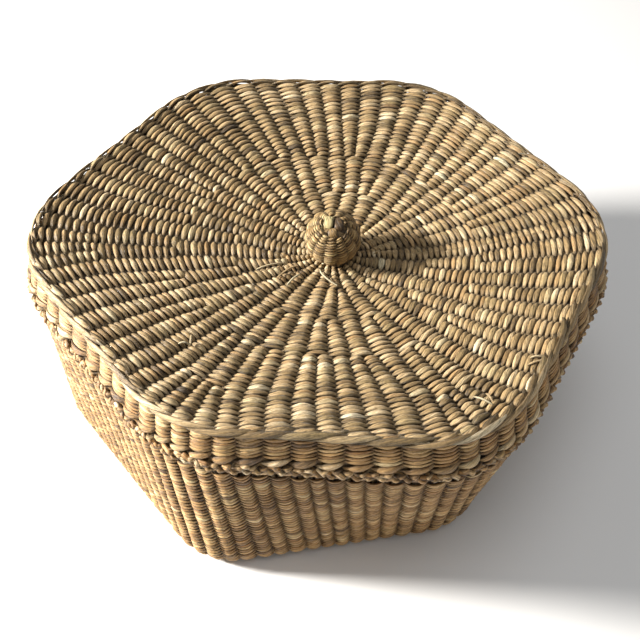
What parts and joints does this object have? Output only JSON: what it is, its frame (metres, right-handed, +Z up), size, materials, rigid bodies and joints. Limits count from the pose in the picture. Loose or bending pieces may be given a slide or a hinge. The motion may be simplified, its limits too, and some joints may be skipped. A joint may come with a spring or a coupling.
{
  "type": "seagrass storage basket",
  "caption": "Hexagonal storage basket twined from seagrass over radial stakes, with a lift-off dished lid that has a woven knob and a plaited border.",
  "frame": {"origin": "middle of the basket's plan box, on the face it stands on", "axes": "+Z up out of the lid's knob, +X towards one corner of the hexagon, -Y towards one flat side"},
  "size_m": [0.2978, 0.265, 0.124],
  "materials": {
    "lid_strands": "dry twisted seagrass, straw and olive tan, slight waxy sheen",
    "wall_strands": "dry twisted seagrass, straw tan, slight waxy sheen",
    "stakes": "dry seagrass stalks, dark tan, matt",
    "border": "flat folded seagrass strands, pale straw, satin",
    "knob": "fine tight seagrass strands, warm straw, satin"
  },
  "bodies": {
    "basket": {"base_outer_strands": "wall_strands", "base_stakes": "stakes", "base_inner_strands": "wall_strands", "foot_row": "border", "wall_outer_strands": "wall_strands", "wall_stakes": "stakes", "wall_inner_strands": "wall_strands", "ledge_row": "border", "collar_outer_strands": "wall_strands", "collar_stakes": "stakes", "collar_inner_strands": "wall_strands", "rim_border": "border"},
    "lid": {"top_outer_strands": "lid_strands", "top_inner_strands": "lid_strands", "shoulder_row": "border", "main_stakes": "stakes", "first_added_stakes": "stakes", "second_added_stakes": "stakes", "skirt_outer_strands": "lid_strands", "skirt_inner_strands": "lid_strands", "lower_row": "border", "border_plait": "border", "border_ends": "border", "knob_core": "stakes", "knob_strands": "knob", "knob_crown": "knob", "neck_binding": "border", "under_knot": "stakes"}
  },
  "joints": [
    {"name": "lid_lift", "type": "slide", "parent": "basket", "child": "lid", "axis": [0, 0, 1], "range_m": [0, 0.15]}
  ]
}
